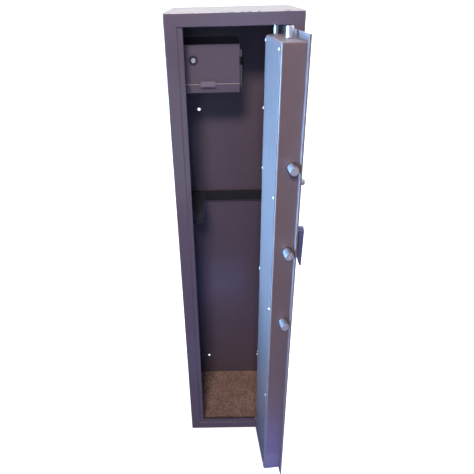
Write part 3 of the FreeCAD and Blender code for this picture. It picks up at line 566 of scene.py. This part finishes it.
def dress_nodes():
    paint = cabinet_paint()
    for name in frame["record"]["behaviour"]["bodies"]["cabinet"]:
        finish_node(name, paint)
    finish_node("ammo_box_door", paint)
    sill_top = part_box("ammo_box_base")[1].z
    sill = cabinet_paint("sill_enamel")
    # the sill gets a painted highlight along its top edge
    finish_node("ammo_box_base", painted_top_highlight(sill, sill_top, SILL_HIGHLIGHT_WIDTH, SILL_HIGHLIGHT))
    finish_node("ammo_pull_tab", cabinet_paint("tab_enamel", tone=TAB_TONE))

    plate_low, plate_high = closed_box("door_plate")
    plate = door_paint("door_plate_enamel", plate_low, plate_high)
    for name in ("door_plate", "door_hinge_return", "hinge_blocks"):
        finish_node(name, plate)
    wall_low, wall_high = closed_box("casing_wall_bolt_side")
    far_low, far_high = closed_box("casing_wall_hinge_side")
    casing_low = (wall_low.x, -1.0, wall_low.z)
    casing = door_paint("casing_enamel", casing_low, (far_high.x, wall_high.y, wall_high.z))
    for name in ("casing_wall_bolt_side", "casing_wall_hinge_side", "casing_wall_top", "casing_wall_bottom"):
        finish_node(name, casing)
    cover_low, cover_high = closed_box("door_rear_cover")
    finish_node("door_rear_cover", door_paint("rear_cover_enamel", cover_low, cover_high))

    metals = bare_metals()
    for name in (
        "hinge_pins", "hinge_spacer", "rod_guides", "bar_straps", "lock_case", "lock_bolt", "bolt_bar",
        "bolt_lugs", "drive_cam", "top_rod", "bottom_rod", "handle_spindle", "ammo_lock_cam",
    ):
        finish_node(name, metals["zinc"])
    finish_node("ammo_hinge_leaf_fixed", metals["brown"])
    # the moving leaf and pin are near black: their own finish with painted shade on the middle knuckle
    for name in ("ammo_hinge_leaf_moving", "ammo_hinge_pin"):
        finish_node(name, metals["black"])
    for name in ("key_lock_barrel", "key_lock_plug", "ammo_lock_plug"):
        finish_node(name, metals["nickel"])
    finish_node("ammo_lock_barrel", metals["bezel"])
    for name in ("side_bolt_bushes", "end_bolt_bushes"):
        finish_node(name, metals["bronze"])
    for name in ("side_bolt_lower", "side_bolt_middle", "side_bolt_upper"):
        low, high = closed_box(name)
        finish_node(name, turned_bolt(name + "_steel", ((low.y + high.y) / 2, (low.z + high.z) / 2)))
    end_bolt = metal(
        "end_bolt_chrome", (0.84, 0.82, 0.86), 0.20, (400.0, 400.0, 30.0), tint=0.05, grain=0.15, metallic=0.7
    )
    for name in ("top_bolt", "bottom_bolt"):
        finish_node(name, end_bolt)
    enamel_dark = handle_finish()
    for name in ("handle_lever", "handle_rose"):
        finish_node(name, enamel_dark)
    finish_node("cover_rivets", rivet_finish())


# ---- studio ----
def floor():
    graph = Graph("studio_floor", Roughness=0.6, Specular_IOR_Level=0.3, Emission_Strength=0.7)
    graph.set(Emission_Color=(1.0, 1.0, 1.0, 1.0))
    cloud = graph.noise(1.3, 3.0, 0.5)
    graph.set(Base_Color=graph.mix(cloud, (0.90, 0.90, 0.91), (0.94, 0.94, 0.95)))
    graph.set(Normal=graph.bump(graph.noise(300.0), 0.02, 0.0005))

    def fill(builder):
        bmesh.ops.create_grid(builder, x_segments=1, y_segments=1, size=FLOOR_REACH)

    made = new_object("floor", fill, graph.material)
    made.visible_diffuse = False
    made.visible_glossy = False


def backdrop():
    """A pale dome all round, seen only by the camera."""
    graph = Graph("backdrop_paper", Roughness=0.9, Emission_Strength=1.0)
    graph.set(Emission_Color=(1.0, 1.0, 1.0, 1.0))
    graph.set(Base_Color=graph.mix(graph.noise(0.2), (0.90, 0.90, 0.91), (0.94, 0.94, 0.95)))

    def fill(builder):
        bmesh.ops.create_uvsphere(builder, u_segments=32, v_segments=16, radius=DOME_RADIUS)

    made = new_object("backdrop", fill, graph.material, smooth=True)
    for seen in ("shadow", "diffuse", "glossy", "transmission"):
        setattr(made, "visible_" + seen, False)


def flag():
    """A narrow dark card on the left that keeps the window's light off the cabinet's front corner."""
    graph = Graph("flag_cloth", Roughness=0.9)
    graph.set(Base_Color=graph.mix(graph.noise(40.0), (0.02, 0.02, 0.02), (0.03, 0.03, 0.03)))
    near = CABINET_LOW.y - FLAG_FORWARD
    far = CABINET_LOW.y + FLAG_BACKWARD
    foot, head = FLAG_HEIGHTS

    def fill(builder):
        corners = [(near, foot), (far, foot), (far, head), (near, head)]
        builder.faces.new([builder.verts.new((CABINET_LOW.x - FLAG_AWAY, y, z)) for y, z in corners])

    made = new_object("flag", fill, graph.material)
    for seen in ("camera", "diffuse", "glossy", "transmission"):
        setattr(made, "visible_" + seen, False)


def soft_light(name, at, towards, size, power, colour):
    data = bpy.data.lights.new(name, "AREA")
    data.shape = "RECTANGLE"
    data.size, data.size_y = size
    data.energy = power
    data.color = colour
    made = bpy.data.objects.new(name, data)
    bpy.context.scene.collection.objects.link(made)
    made.location = at
    made.rotation_euler = (Vector(towards) - Vector(at)).to_track_quat("-Z", "Y").to_euler()
    return made


def surroundings():
    """A plain studio: white behind and on the right, cool on the left, dim in front and dimmer below."""
    world = bpy.data.worlds.new("studio")
    bpy.context.scene.world = world
    world.use_nodes = True
    tree = world.node_tree
    background = tree.nodes["Background"]
    direction = tree.nodes.new("ShaderNodeTexCoord").outputs["Generated"]
    split = tree.nodes.new("ShaderNodeSeparateXYZ")
    tree.links.new(direction, split.inputs[0])

    def side(axis, low, high):
        made = tree.nodes.new("ShaderNodeMapRange")
        made.interpolation_type = "SMOOTHSTEP"
        tree.links.new(split.outputs[axis], made.inputs["Value"])
        made.inputs["From Min"].default_value = low
        made.inputs["From Max"].default_value = high
        return made.outputs["Result"]

    def blend(factor, a, b):
        made = tree.nodes.new("ShaderNodeMix")
        made.data_type = "RGBA"
        tree.links.new(factor, made.inputs["Factor"])
        return mix_colours(tree, made, a, b)

    front_to_back = blend(side("Y", -0.2, 0.35), ROOM_FRONT, ROOM_BACK)
    with_left = blend(side("X", -0.35, -0.9), front_to_back, ROOM_LEFT)
    with_right = blend(side("X", 0.40, 0.90), with_left, ROOM_RIGHT)
    whole = blend(side("Z", -0.03, -0.25), with_right, ROOM_BELOW)
    tree.links.new(whole, background.inputs["Color"])
    background.inputs["Strength"].default_value = 1.0


def lights():
    """Every lamp, hidden from the camera except the key."""
    for name, settings in LAMPS.items():
        lamp = soft_light(name, *settings)
        lamp.visible_camera = name == "key"
        if name == "window":
            lamp.data.spread = WINDOW_SPREAD


def camera():
    """The photographer stands just in front, at eye height, looking down the open door."""
    data = bpy.data.cameras.new("camera")
    made = bpy.data.objects.new("camera", data)
    bpy.context.scene.collection.objects.link(made)
    bpy.context.scene.camera = made
    yaw, pitch, roll = CAMERA_TURN
    forward = Vector((math.sin(yaw) * math.cos(pitch), math.cos(yaw) * math.cos(pitch), -math.sin(pitch)))
    level = Vector((math.cos(yaw), -math.sin(yaw), 0.0))
    up = level.cross(forward)
    right = math.cos(roll) * level + math.sin(roll) * up
    above = -math.sin(roll) * level + math.cos(roll) * up
    basis = Matrix((right, above, -forward)).transposed().to_4x4()
    basis.translation = CAMERA_AT
    made.matrix_world = basis
    data.sensor_width = 36.0
    data.lens = CAMERA_LENS
    data.shift_x, data.shift_y = CAMERA_SHIFT
    data.clip_start = 0.05


camera()
surroundings()
lights()
floor()
backdrop()
flag()
dress_nodes()
build_carpet(carpet_finish())
foam = foam_finish()
build_pad("barrel_rest_foam_rear", foam)
build_pad("barrel_rest_foam_left", foam, notched_outline)
bpy.context.scene.view_settings.view_transform = "Standard"
